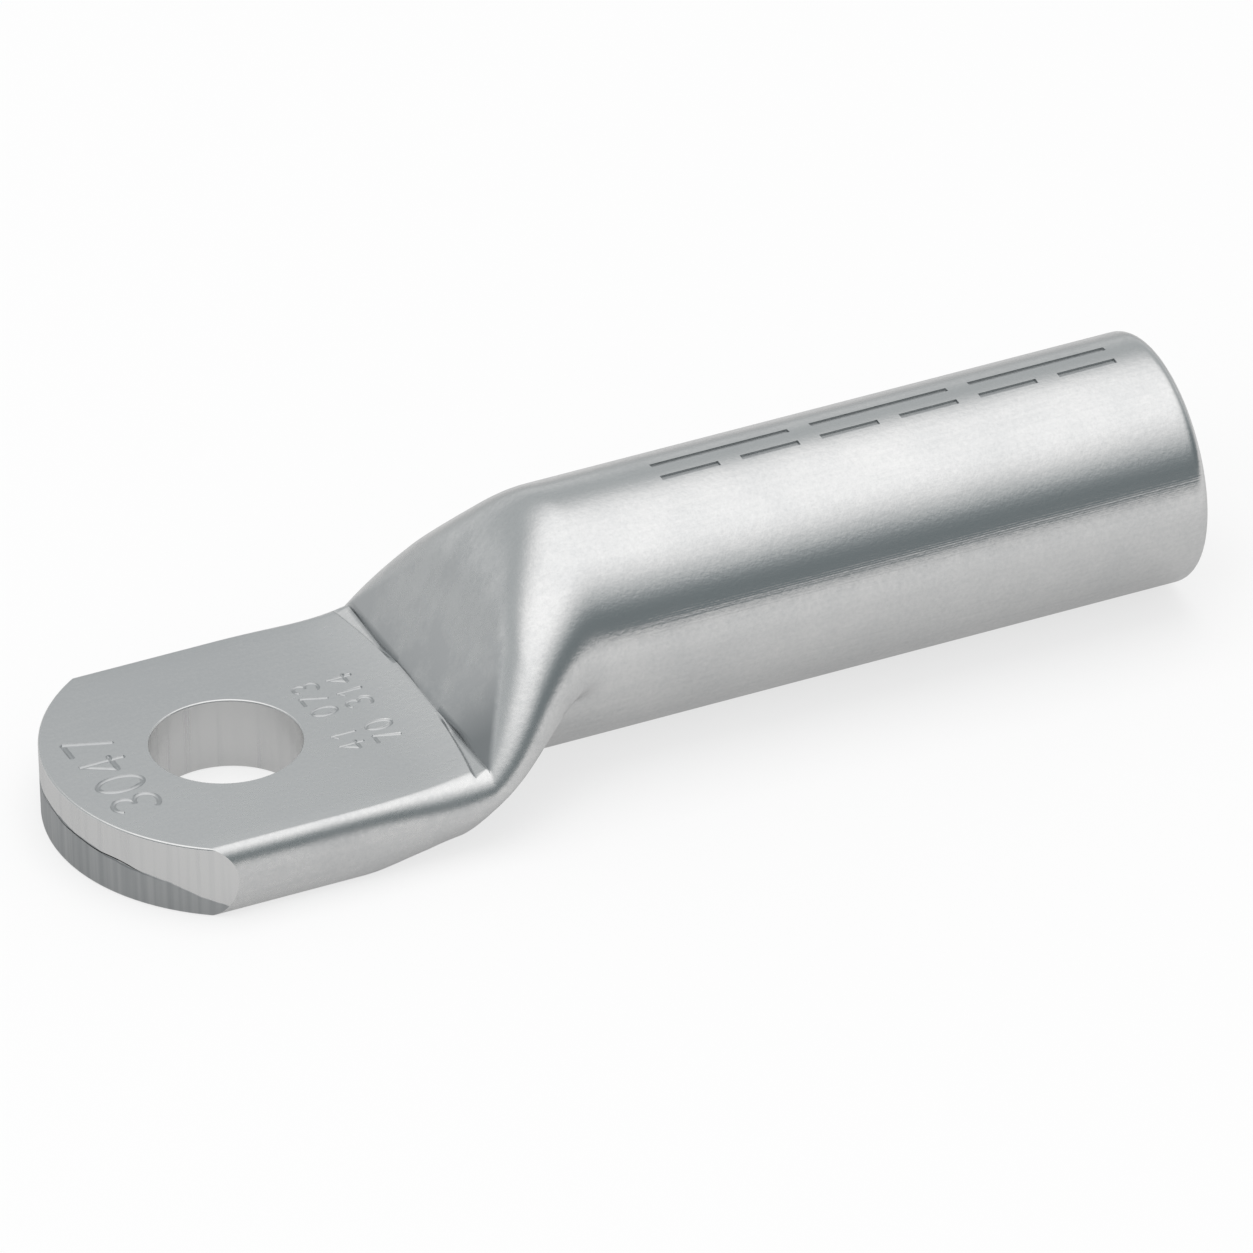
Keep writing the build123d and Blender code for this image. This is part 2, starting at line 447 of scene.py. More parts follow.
@dataclass
class PressedSkin:
    """Outer skin of palm, ramp, neck and barrel, made by a Geometry Nodes tree from its rule."""

    sizes: LugSizes
    around: Tuple[int, int, int, int] = (20, 14, 28, 8)
    cap_step: float = 1.0 * MM
    palm_spare: float = 1.0 * MM
    narrowing_ease: float = 0.25
    merge_reach: float = 0.002 * MM
    least_turn: float = 0.001

    def build(self) -> bpy.types.Object:
        """Make the closed skin.

        Returns:
            An object at the origin with a plain mesh, its normals outwards.
        """
        numbers = {item.name: getattr(self.sizes, item.name) for item in fields(self.sizes)}
        mesh = grown_mesh("cable_lug_body", numbers, self._wire, Zone.DRAWN)
        mesh.flip_normals()
        log.info("pressed skin: %d faces", len(mesh.polygons))
        return new_object("cable_lug_body", mesh)

    def _zones(self) -> List[Tuple[float, float, int]]:
        """Start, end and steps of each run of stations along the lug."""
        s = self.sizes
        palm_start = -s.palm_end_reach - self.palm_spare
        lift = s.crease_distance - s.underside_lead
        lower_end = s.facet_top_x - s.facet_shoulder
        rim_start = s.mouth_x - s.rim_radius
        return [
            (palm_start - self.cap_step, palm_start, 1),
            (palm_start, lift, 24),
            (lift, s.crease_distance, 36),
            (s.crease_distance, lower_end, 24),
            (lower_end, s.barrel_start_x, 26),
            (s.barrel_start_x, rim_start, 80),
            (rim_start, s.mouth_x, 8),
            (s.mouth_x, s.mouth_x + self.cap_step, 1),
        ]

    def _wire(self, kit: NodeKit, size: Dict[str, Value]) -> Shape:
        """Strips of grid, put in their places by the rule, with the other half joined on.

        Args:
            kit: The tree to build in.
            size: The tree's named inputs.

        Returns:
            The skin.
        """
        rows = sum(self.around) + 1
        strips = []
        for start, end, count in self._zones():
            grid = kit.shape(
                "MeshGrid", Size_X=end - start, Size_Y=1.0, Vertices_X=count + 1, Vertices_Y=rows
            )
            strips.append(kit.shape("Transform", Geometry=grid, Translation=((start + end) / 2, 0.5, 0.0)))
        joined = kit.together(reversed(strips))
        along, v, _ = kit.split(kit.shape("InputPosition"))
        target = kit.vector(*self._rule(size, along, v))
        half = kit.shape("SetPosition", Geometry=joined, Position=target)
        other = kit.shape("Transform", Geometry=half, Scale=(1.0, -1.0, 1.0))
        both = kit.together((half, kit.shape("FlipFaces", Mesh=other)))
        return kit.shape("MergeByDistance", Geometry=both, Distance=self.merge_reach)

    def _rule(self, size: Dict[str, Value], along: Value, v: Value) -> Tuple[Value, Value, Value]:
        """Place of a grid point by the rule of the pressed section.

        Args:
            size: The tree's named inputs.
            along: Place along the lug.
            v: 0 at the middle of the underside, 1 at the middle of the top.

        Returns:
            The point's x, y and z.
        """
        radians = math.pi / 180
        radius = size["barrel_diameter"] / 2.0
        thickness = size["palm_thickness"]
        palm_half = size["palm_width"] / 2.0
        crease = size["crease_distance"]
        shoulder = size["facet_shoulder"]
        slope = (size["facet_angle"] * radians).tan()
        ramp_start = crease - size["ramp_length"]
        crease_height = thickness + size["crease_rise"]
        top_x = crease + (size["barrel_diameter"] - crease_height) / slope
        barrel_start = top_x + shoulder
        mouth = barrel_start + size["barrel_length"]

        # Rounded mouth and the two end caps, as a shift along and a pull towards the axis
        rim = size["rim_radius"]
        swing = along.share(mouth - rim, mouth) * (math.pi / 2)
        x = along.least(mouth - rim) + rim * swing.sin()
        palm_start = -(size["palm_end_reach"] + self.palm_spare)
        x = x.most(palm_start)
        pull_in = 1.0 - rim * (1.0 - swing.cos()) / radius
        mouth_cap = 1.0 - along.share(mouth, mouth + self.cap_step)
        palm_cap = along.share(palm_start - self.cap_step, palm_start)

        # Height of the pressed top
        up_ramp = along.share(ramp_start, crease)
        up_facet = (along - crease).most(0.0).least(top_x - shoulder - crease)
        left = (top_x + shoulder - along).most(0.0).least(2.0 * shoulder)
        up_shoulder = slope * shoulder - slope * left * left / (4.0 * shoulder)
        top = thickness + size["crease_rise"] * up_ramp * up_ramp + slope * up_facet + up_shoulder

        # Widest line of the side
        wide = between(palm_half, radius, along.eased(crease + size["wing_hold"], barrel_start))
        lifted = along.eased(crease - size["side_lift_lead"], barrel_start)
        middle = between(size["palm_side_height"], radius, lifted)

        # Edge of the strip below, which turns up round the barrel
        under_angle = size["underside_half_angle"] * radians
        narrow_start = crease - size["underside_lead"]
        narrowed = along.eased(narrow_start, crease - size["underside_narrow_tail"])
        under_half = between(palm_half - size["palm_under_inset"], radius * under_angle.sin(), narrowed)
        turn_start = crease - size["underside_turn_lead"]
        under_turn = under_angle * along.eased(turn_start, turn_start + size["underside_turn_run"])
        under_turn = under_turn.most(self.least_turn)

        # Edge of the strip on top, and how far down the side's knee lies
        tip = (size["facet_tip_half_angle"] * radians).sin()
        palm_top = palm_half - size["palm_top_inset"]
        crease_half = palm_top - size["palm_top_narrowing"] * along.eased(narrow_start, crease)
        ease = self.narrowing_ease
        drawn_in = ((along - crease) / size["facet_narrowing_run"]).most(0.0)
        overrun = (drawn_in - (1.0 - ease)).most(0.0).least(2.0 * ease)
        drawn_in = drawn_in.least(1.0 + ease) - overrun * overrun / (4.0 * ease)
        top_half = between(crease_half, radius * tip, drawn_in)
        top_turn = size["facet_tip_half_angle"] * radians * along.eased(top_x - shoulder, barrel_start)
        top_turn = top_turn.most(self.least_turn)
        knee = tip / (1.0 + tip) * along.eased(crease, barrel_start)

        # Walk up the half outline: underside, lower corner, upper corner, top
        steps = float(sum(self.around))
        stops = [0.0]
        for count in self.around:
            stops.append(stops[-1] + count / steps)
        shares = [v.share(stops[i], stops[i + 1]) for i in range(4)]
        y0, z0 = self._strip(under_half, under_turn, shares[0])
        y3, z3 = self._strip(top_half, top_turn, 1.0 - shares[3])
        under_z = under_half * (under_turn / 2.0).tan()
        top_drop = top_half * (top_turn / 2.0).tan()
        side = (wide, middle)
        y1, z1 = self._lower_corner((under_half, under_z), under_turn, side, shares[1])
        y2, z2 = self._upper_corner((top_half, top - top_drop), knee, side, 1.0 - shares[2])
        y = y0 + (y1 - under_half) + (y2 - wide) + (y3 - top_half)
        z = z0 + (z1 - under_z) + (z2 - middle) + (top_drop - z3)

        centre = between(size["palm_side_height"], radius, along > crease)
        y = y * pull_in * mouth_cap * palm_cap
        z = centre + (z - centre) * pull_in * mouth_cap * palm_cap
        return x, y, z

    @staticmethod
    def _strip(half: Value, turn: Value, share: Operand) -> Tuple[Value, Value]:
        """Point of a middle strip, as its distance out and its rise towards the side."""
        along_arc = turn * share
        y = half * along_arc.sin() / turn.sin()
        low = (along_arc / 2.0).sin()
        return y, 2.0 * half * low * low / turn.sin()

    @staticmethod
    def _bezier(points: Sequence[Spot], share: Value) -> Spot:
        """Point of a cubic curve, from its four (out, height) points."""
        rest = 1.0 - share
        second, third = 3.0 * rest * rest * share, 3.0 * rest * share * share
        weighed = list(zip((rest * rest * rest, second, third, share * share * share), points))
        out, height = (sum((weight * point[i] for weight, point in weighed), 0.0) for i in (0, 1))
        return out, height

    def _upper_corner(self, start: Spot, knee: Value, side: Spot, share: Value) -> Spot:
        """Point of the curve from the top strip's edge round to the widest point of the side.

        Args:
            start: Half width and height of the strip's edge.
            knee: How far down towards the side the curve's knee lies.
            side: Half width and height of the widest point.
            share: 0 at the strip's edge, 1 at the widest point.

        Returns:
            The point's distance out and its height.
        """
        knee_z = between(start[1], side[1], knee)
        swing = math.pi / 2 - ((start[1] - knee_z) / (side[0] - start[0]).size()).arctan()
        pull = (4 / 3) * (swing / 4.0).tan() / (swing / 2.0).tan()
        first = (between(start[0], side[0], pull), between(start[1], knee_z, pull))
        second = (side[0], between(side[1], knee_z, pull))
        return self._bezier((start, first, second, side), share)

    def _lower_corner(self, start: Spot, turn: Value, side: Spot, share: Value) -> Spot:
        """Point of the curve from the underside strip's edge up to the widest point.

        Args:
            start: Half width and height of the strip's edge.
            turn: Slant of the outline at the strip's edge.
            side: Half width and height of the widest point.
            share: 0 at the strip's edge, 1 at the widest point.

        Returns:
            The point's distance out and its height.
        """
        swing = math.pi / 2 - turn
        pull = (4 / 3) * (swing / 4.0).tan()
        upright = pull * (side[1] - start[1]) / swing.sin()
        level = pull * (side[0] - start[0]).size() / (1.0 - swing.cos())
        length = upright.least(level)
        first = (start[0] + length * turn.cos(), start[1] + length * turn.sin())
        second = (side[0], side[1] - upright)
        return self._bezier((start, first, second, side), share)


class SkinNormals:
    """Normals of the uncut skin, for the faces that the cuts leave of it."""

    NUDGE = 0.004 * MM
    MARKS_FROM = 35 * MM
    HOLE_REACH = 8 * MM
    UPRIGHT = 0.02

    def __init__(self, mesh: bpy.types.Mesh) -> None:
        """Note the skin's triangles and the normals at their corners."""
        mesh.calc_loop_triangles()
        corners = [corner.vector.copy() for corner in mesh.corner_normals]
        self.places = [vertex.co.copy() for vertex in mesh.vertices]
        self.triangles = [tuple(triangle.vertices) for triangle in mesh.loop_triangles]
        self.normals = [[corners[i] for i in triangle.loops] for triangle in mesh.loop_triangles]
        self.tree = BVHTree.FromPolygons(self.places, self.triangles, all_triangles=True)

    def at(self, place: Vector) -> Vector:
        """Normal of the skin next to a place."""
        near, _, index, _ = self.tree.find_nearest(place)
        spots = [self.places[i] for i in self.triangles[index]]
        shares = poly_3d_calc(spots, near)
        mixed = Vector((0.0, 0.0, 0.0))
        for share, normal in zip(shares, self.normals[index]):
            mixed += share * normal
        return mixed.normalized()

    def give(self, mesh: bpy.types.Mesh, zones: Sequence[int], end_centre: Vector) -> None:
        """Set the corner normals of a cut mesh: as the skin's, or of a flat mark or a round wall.

        Args:
            mesh: The cut mesh.
            zones: The zone of each face.
            end_centre: Centre of the round end. The bolt hole's is the origin.
        """
        given = [(0.0, 0.0, 0.0)] * len(mesh.loops)
        for face in mesh.polygons:
            zone = Zone(zones[face.index])
            wall = zone == Zone.SHEARED and abs(face.normal.z) < self.UPRIGHT
            mark = zone == Zone.STAMPED and face.center.x > self.MARKS_FROM
            centre = Vector() if face.center.xy.length < self.HOLE_REACH else end_centre
            for loop in face.loop_indices:
                place = mesh.vertices[mesh.loops[loop].vertex_index].co
                if zone == Zone.DRAWN:
                    given[loop] = self.at(place + (face.center - place).normalized() * self.NUDGE)[:]
                elif mark:
                    given[loop] = face.normal[:]
                elif wall:
                    out = Vector((place.x - centre.x, place.y - centre.y, 0.0)).normalized()
                    given[loop] = (out if out.dot(face.normal) > 0 else -out)[:]
        mesh.normals_split_custom_set(given)


# Cuts in the palm


@dataclass
class PalmCuts:
    """Sheared end of the palm, punched bolt hole, seam between the walls, and the press ledge."""

    sizes: LugSizes
    end_rollover: float = 0.2 * MM
    end_under_edge: float = 0.15 * MM
    hole_rollover: float = 0.16 * MM
    hole_under_edge: float = 0.1 * MM
    seam_width: float = 0.18 * MM
    seam_depth: float = 0.5 * MM
    seam_side_land: float = 5.0 * MM
    seam_height: float = 3.8 * MM
    seam_bow_radius: float = 70.0 * MM
    seam_waver: float = 0.12 * MM
    ledge_width: float = 1.2 * MM
    ledge_drop: float = 0.45 * MM
    ledge_gap: float = 8.5 * MM
    ledge_tilt: float = 0.34
    ledge_slant: float = 0.3 * MM
    score_width: float = 0.3 * MM
    score_depth: float = 0.16 * MM
    ledge_tip: float = 0.12 * MM
    ledge_first_depth: float = 0.02
    ledge_deepening: float = 3.5
    ledge_steps: int = 32
    score_steps: int = 60
    score_waver: float = 0.06 * MM
    arc_steps: int = 120
    hole_steps: int = 144
    clear: float = 6.0 * MM

    def _rim_profile(self, radius: float, top: float, under: float, out: bool) -> List[Span]:
        """Wall of a cut through the palm with both rims rounded, from below to above.

        Args:
            radius: The wall's radius.
            top: Radius of the rounded upper rim.
            under: Radius of the rounded lower rim.
            out: Whether the rims open outwards, as a hole's do, or inwards, as an outer edge's do.

        Returns:
            Points of (radius, height).
        """
        sign = 1 if out else -1
        t = self.sizes.palm_thickness
        wall = [(radius + sign * under, -2 * MM)]
        wall += [(radius + sign * a, under - b) for a, b in reversed(round_over(under, 4))]
        wall += [(radius + sign * a, t - top + b) for a, b in round_over(top, 6)]
        wall.append((radius + sign * top, 3 * t))
        return wall

    def end_trim(self) -> bpy.types.Mesh:
        """Ring that shears the palm's end to its arc."""
        s = self.sizes
        profile = self._rim_profile(s.palm_end_radius, self.end_rollover, self.end_under_edge, False)
        outer = 2 * s.palm_end_radius
        profile = profile + [(outer, profile[-1][1]), (outer, profile[0][1])]
        turn = [math.pi / 2 + math.pi * i / self.arc_steps for i in range(self.arc_steps + 1)]
        return loft([self._end_ring(angle, profile) for angle in turn], Zone.SHEARED)

    def _end_ring(self, angle: float, profile: Sequence[Span]) -> List[Point]:
        """A profile of (radius, height) at one angle round the centre of the palm's end."""
        middle = self.sizes.palm_end_centre_x
        return [(middle + r * math.cos(angle), r * math.sin(angle), z) for r, z in profile]

    def bolt_hole(self) -> bpy.types.Mesh:
        """Punch for the bolt hole, with a soft upper rim."""
        radius = self.sizes.bolt_hole_diameter / 2
        profile = self._rim_profile(radius, self.hole_rollover, self.hole_under_edge, True)
        return lathe(profile, self.hole_steps, Zone.SHEARED)

    def seam(self) -> bpy.types.Mesh:
        """Fine groove round the palm's end where the two pressed walls meet."""
        s = self.sizes
        reach = s.palm_width / 2 - self.seam_side_land
        swing = math.asin(reach / s.palm_end_radius)
        rings = []
        for i in range(self.arc_steps + 1):
            share = i / self.arc_steps
            angle = math.pi - swing + 2 * swing * share
            ends = min(1.0, 12 * share, 12 * (1 - share))
            waver = self.seam_waver * (math.sin(9.0 * angle) + 0.5 * math.sin(23.0 * angle))
            bow = (s.palm_end_radius * math.sin(angle)) ** 2 / (2 * self.seam_bow_radius)
            middle = self.seam_height - bow + waver * ends
            half = self.seam_width / 2 * max(ends, 0.15)
            inner = s.palm_end_radius - self.seam_depth * max(ends, 0.15)
            outer = s.palm_end_radius + 1 * MM
            corners = [(inner, middle), (outer, middle + 2 * half), (outer, middle - 2 * half)]
            rings.append(self._end_ring(angle, corners))
        return loft(rings, Zone.STAMPED)

    def _ramp_height(self, x: float) -> float:
        """Height of the palm's top on the ramp before the crease."""
        s = self.sizes
        up = (x - s.crease_distance + s.ramp_length) / s.ramp_length
        return s.palm_thickness + s.crease_rise * up**2

    def ledge_arc(self) -> Tuple[float, float]:
        """Centre, as a place along the lug, and radius of the arc that bounds the ledges in front."""
        s = self.sizes
        reach = s.palm_width / 2 - s.palm_top_inset
        gap_half = self.ledge_gap / 2
        offset = (reach**2 + self.ledge_width**2 - gap_half**2) / (2 * self.ledge_width)
        return s.crease_distance - offset, math.hypot(offset, gap_half)

    def ledge(self) -> List[bpy.types.Mesh]:
        """The two ledges in front of the facet, widest outside, that taper out in the middle."""
        s = self.sizes
        gap_half = self.ledge_gap / 2
        centre, bow = self.ledge_arc()
        back = s.crease_distance
        high = s.crease_height + self.clear
        tools = []
        for side in (1, -1):
            rings = []
            for i in range(self.ledge_steps + 1):
                share = i / self.ledge_steps
                y = gap_half + (s.palm_width / 2 - gap_half) * share
                front = min(centre + math.sqrt(bow**2 - y**2), back - self.ledge_tip)
                deep = min(1.0, self.ledge_first_depth + self.ledge_deepening * share)
                low = s.crease_height - self.ledge_drop * deep
                rise = self.ledge_tilt * (back - front)
                edge = front - self.ledge_slant
                floor = [(edge, self._ramp_height(edge)), (front, low), (back, low + rise)]
                rings.append([(x, side * y, z) for x, z in floor + [(back, high), (edge, high)]])
            tools.append(loft(rings, Zone.STAMPED))
        return tools

    def crease_score(self) -> bpy.types.Mesh:
        """Fine groove at the facet's foot, shallower in the middle."""
        s = self.sizes
        reach = s.palm_width / 2 - s.palm_top_inset
        rings = []
        for i in range(self.score_steps + 1):
            y = reach * (2 * i / self.score_steps - 1)
            deep = 0.35 + 0.65 * eased_share(abs(y), 0.15 * reach, 0.5 * reach)
            half = self.score_width / 2 * (0.6 + 0.4 * deep)
            x = s.crease_distance + self.score_waver * math.sin(y / (1.7 * MM))
            z = s.crease_height
            outline = [(x - half, z + half), (x, z - self.score_depth * deep), (x + half, z + 2 * half)]
            rings.append([(x_, y, z_) for x_, z_ in outline])
        return loft(rings, Zone.STAMPED)


# Bore and hollow


@dataclass
class Hollow:
    """Round bore of the barrel and the closing hollow of the neck, as one tool."""

    sizes: LugSizes
    tip_distance: float = 4.2 * MM
    tip_width: float = 17.0 * MM
    tip_opening: float = 0.8 * MM
    neck_steps: int = 20
    ring_steps: int = 96

    def _ring(self, x: float, middle: float, half_width: float, half_height: float) -> List[Point]:
        """Ellipse across the lug."""
        turn = [2 * math.pi * i / self.ring_steps for i in range(self.ring_steps)]
        return [(x, half_width * math.cos(a), middle + half_height * math.sin(a)) for a in turn]

    def _neck_ring(self, x: float) -> List[Point]:
        """Opening between the walls at a place in the neck."""
        s = self.sizes
        fold = s.palm_thickness / 2
        wall_end = s.barrel_radius - s.bore_radius
        share = eased_share(x, s.crease_distance, s.barrel_start_x)
        wall = fold + (wall_end - fold) * share
        slant = wall / math.cos(math.radians(s.facet_angle))
        line = s.crease_height + s.facet_slope * (x - s.crease_distance)
        left = s.facet_top_x + s.facet_shoulder - x
        curve = s.barrel_diameter - s.facet_slope * max(left, 0.0) ** 2 / (4 * s.facet_shoulder)
        top = line if x < s.facet_top_x - s.facet_shoulder else curve
        roof = min(top - slant - (wall - slant) * share, s.barrel_radius + s.bore_radius)
        opening = max(roof - wall, self.tip_opening)
        wide = self.tip_width / 2 + (s.bore_radius - self.tip_width / 2) * share
        return self._ring(x, wall + opening / 2, wide, opening / 2)

    def tool(self) -> bpy.types.Mesh:
        """Closed mesh of the whole inside."""
        s = self.sizes
        tip_x = s.crease_distance + self.tip_distance
        rings = []
        for i in range(self.neck_steps):
            rings.append(self._neck_ring(tip_x + (s.barrel_start_x - tip_x) * i / self.neck_steps))
        for x, radius in self._bore_places():
            rings.append(self._ring(x, s.barrel_radius, radius, radius))
        return loft(rings, Zone.BORED)

    def _bore_places(self) -> List[Span]:
        """Places along the bore with the radius at each, out past the mouth."""
        s = self.sizes
        straight_end = s.mouth_x - s.bore_lead_in
        run = straight_end - s.barrel_start_x
        places = [(s.barrel_start_x + run * i / 4, s.bore_radius) for i in range(5)]
        places.append((s.mouth_x, s.bore_radius + s.bore_lead_in))
        places.append((s.mouth_x + 1 * MM, s.bore_radius + s.bore_lead_in + 1 * MM))
        return places


def eased_share(x: float, start: float, end: float) -> float:
    """Go from 0 to 1 between two places, level at both."""
    u = min(max((x - start) / (end - start), 0.0), 1.0)
    return u * u * (3 - 2 * u)


# Marks on the barrel and figures on the palm


@dataclass
class CrimpMarks:
    """Two rows of guide marks pressed into the barrel's top, placed by Geometry Nodes."""

    sizes: LugSizes
    run_start: float = 9.4 * MM
    long_count: int = 3
    long_length: float = 12.9 * MM
    gap: float = 1.9 * MM
    width: float = 0.7 * MM
    depth: float = 0.22 * MM
    long_angle: float = 6.5
    short_angle: float = -5.0
    side_draft: float = 0.16
    end_draft: float = 0.3

    def tools(self) -> List[bpy.types.Mesh]:
        """One mesh with all the marks of each row."""
        pitch = self.long_length + self.gap
        short = pitch / 2 - self.gap
        return [
            self._row("long_marks", self.long_count, pitch, self.long_length, self.long_angle),
            self._row("short_marks", 2 * self.long_count, pitch / 2, short, self.short_angle),
        ]

    def _row(self, name: str, count: int, pitch: float, length: float, angle: float) -> bpy.types.Mesh:
        """Make one row.

        Args:
            name: The tree's name.
            count: How many marks.
            pitch: Distance from mark to mark.
            length: Length of one mark.
            angle: Place round the barrel, in degrees from the top.

        Returns:
            A plain mesh that holds the marks, narrower towards their floor.
        """
        numbers = {
            "count": count, "pitch": pitch, "length": length, "width": self.width, "depth": self.depth,
            "angle": math.radians(angle), "start": self.sizes.barrel_start_x + self.run_start,
            "radius": self.sizes.barrel_radius,
        }
        return grown_mesh(name, numbers, self._wire, Zone.STAMPED)

    def _wire(self, kit: NodeKit, size: Dict[str, Value]) -> Shape:
        """Blocks in a line along the barrel's top, turned round its axis.

        Args:
            kit: The tree to build in.
            size: The tree's named inputs.

        Returns:
            The blocks, sunk to half their height.
        """
        offsets = {
            "Count": size["count"],
            "Start Location": kit.vector(size["start"] + size["length"] / 2.0),
            "Offset": kit.vector(size["pitch"]),
        }
        line = kit.node("GeometryNodeMeshLine", {"mode": "OFFSET"}, offsets).outputs[0]
        block = kit.shape("MeshCube", Size=kit.vector(size["length"], size["width"], 2.0 * size["depth"]))
        x, y, z = kit.split(kit.shape("InputPosition"))
        inward = (-z / size["depth"]).held()
        slimmer = 1.0 - self.side_draft * inward
        shorter = 1.0 - inward * self.end_draft * size["width"] / size["length"]
        shaped = kit.shape("SetPosition", Geometry=block, Position=kit.vector(x * shorter, y * slimmer, z))
        up = kit.vector(z=size["radius"])
        lifted = kit.shape("Transform", Geometry=shaped, Translation=up)
        copies = kit.shape("InstanceOnPoints", Points=line, Instance=lifted)
        real = kit.shape("RealizeInstances", Geometry=copies)
        return kit.shape("Transform", Geometry=real, Translation=up, Rotation=kit.vector(-size["angle"]))


@dataclass(frozen=True)
class FigureRow:
    """A row of plain figures that is pressed into the palm."""

    text: str
    x: float
    height: float
    pitch: float
    depth: float
    stroke: float


def arc(cx: float, cy: float, rx: float, ry: float, start: float, end: float) -> List[Span]:
    """Points of an elliptic arc, angles in degrees."""
    steps = 16
    points = []
    for i in range(steps + 1):
        angle = math.radians(start + (end - start) * i / steps)
        points.append((cx + rx * math.cos(angle), cy + ry * math.sin(angle)))
    return points


class Figures:
    """Plain figures as strokes on a field 0.56 wide and 1 high, cut as round-bottomed grooves."""

    GROOVE = (
        (-1.7, 2.0), (-1.0, 1.0), (-0.8, 0.62), (-0.5, 0.2), (-0.2, 0.0), (0.2, 0.0), (0.5, 0.2), (0.8, 0.62),
        (1.0, 1.0), (1.7, 2.0),
    )
    STROKES = {
        "0": [arc(0.28, 0.5, 0.28, 0.5, 90, 272), arc(0.28, 0.5, 0.28, 0.5, 270, 452)],
        "1": [[(0.06, 0.8), (0.3, 1.0)], [(0.3, 1.0), (0.3, 0.0)]],
        "3": [arc(0.27, 0.75, 0.25, 0.25, 150, -88), arc(0.27, 0.26, 0.29, 0.26, 86, -150)],
        "4": [[(0.42, 1.0), (0.0, 0.3)], [(0.42, 1.0), (0.42, 0.0)], [(0.0, 0.3), (0.58, 0.3)]],
        "7": [[(0.0, 1.0), (0.56, 1.0)], [(0.56, 1.0), (0.2, 0.0)]],
    }

    def __init__(self, sizes: LugSizes, rows: Sequence[FigureRow]) -> None:
        """Keep the rows to be pressed."""
        self.sizes = sizes
        self.rows = rows

    def tools(self) -> List[bpy.types.Mesh]:
        """One mesh for all first strokes, one for all second strokes and one for all third ones."""
        layers: List[List[bpy.types.Mesh]] = [[], [], []]
        for row in self.rows:
            start = -row.pitch * len(row.text) / 2
            for i, figure in enumerate(row.text):
                for layer, stroke in enumerate(self.STROKES.get(figure, [])):
                    layers[layer].append(self._groove(row, start + row.pitch * i, stroke))
        return [joined_mesh(layer, "figures") for layer in layers if layer]

    def _groove(self, row: FigureRow, shift: float, stroke: Sequence[Span]) -> bpy.types.Mesh:
        """Closed tube along one stroke, half sunk in the palm's top.

        Args:
            row: The row that the figure is in.
            shift: The figure's left edge, along +Y.
            stroke: Points of the stroke on the figure's field.

        Returns:
            A closed mesh.
        """
        floor_z = self.sizes.palm_thickness - row.depth
        points = [Vector((row.x - v * row.height, shift + u * row.height, 0.0)) for u, v in stroke]
        tip = 0.25 * row.stroke
        first = points[0] + (points[0] - points[1]).normalized() * tip
        last = points[-1] + (points[-1] - points[-2]).normalized() * tip
        path = [first] + points + [last]
        rings = []
        for i, point in enumerate(path):
            way = (path[min(i + 1, len(path) - 1)] - path[max(i - 1, 0)]).normalized()
            side = Vector((-way.y, way.x, 0.0)) * row.stroke / 2
            end = i in (0, len(path) - 1)
            slim, lift = (0.35, 0.7 * row.depth) if end else (1.0, 0.0)
            ring = []
            for across, up in self.GROOVE:
                spot = point + side * across * slim
                ring.append((spot.x, spot.y, floor_z + lift + up * row.depth))
            rings.append(ring)
        return loft(rings, Zone.STAMPED)


def joined_mesh(parts: Sequence[bpy.types.Mesh], name: str) -> bpy.types.Mesh:
    """Join several meshes into one and remove them."""
    made = bmesh.new()
    for part in parts:
        made.from_mesh(part)
    mesh = bpy.data.meshes.new(name)
    made.to_mesh(mesh)
    made.free()
    for part in parts:
        bpy.data.meshes.remove(part)
    zone_slots(mesh)
    return mesh


# Finish


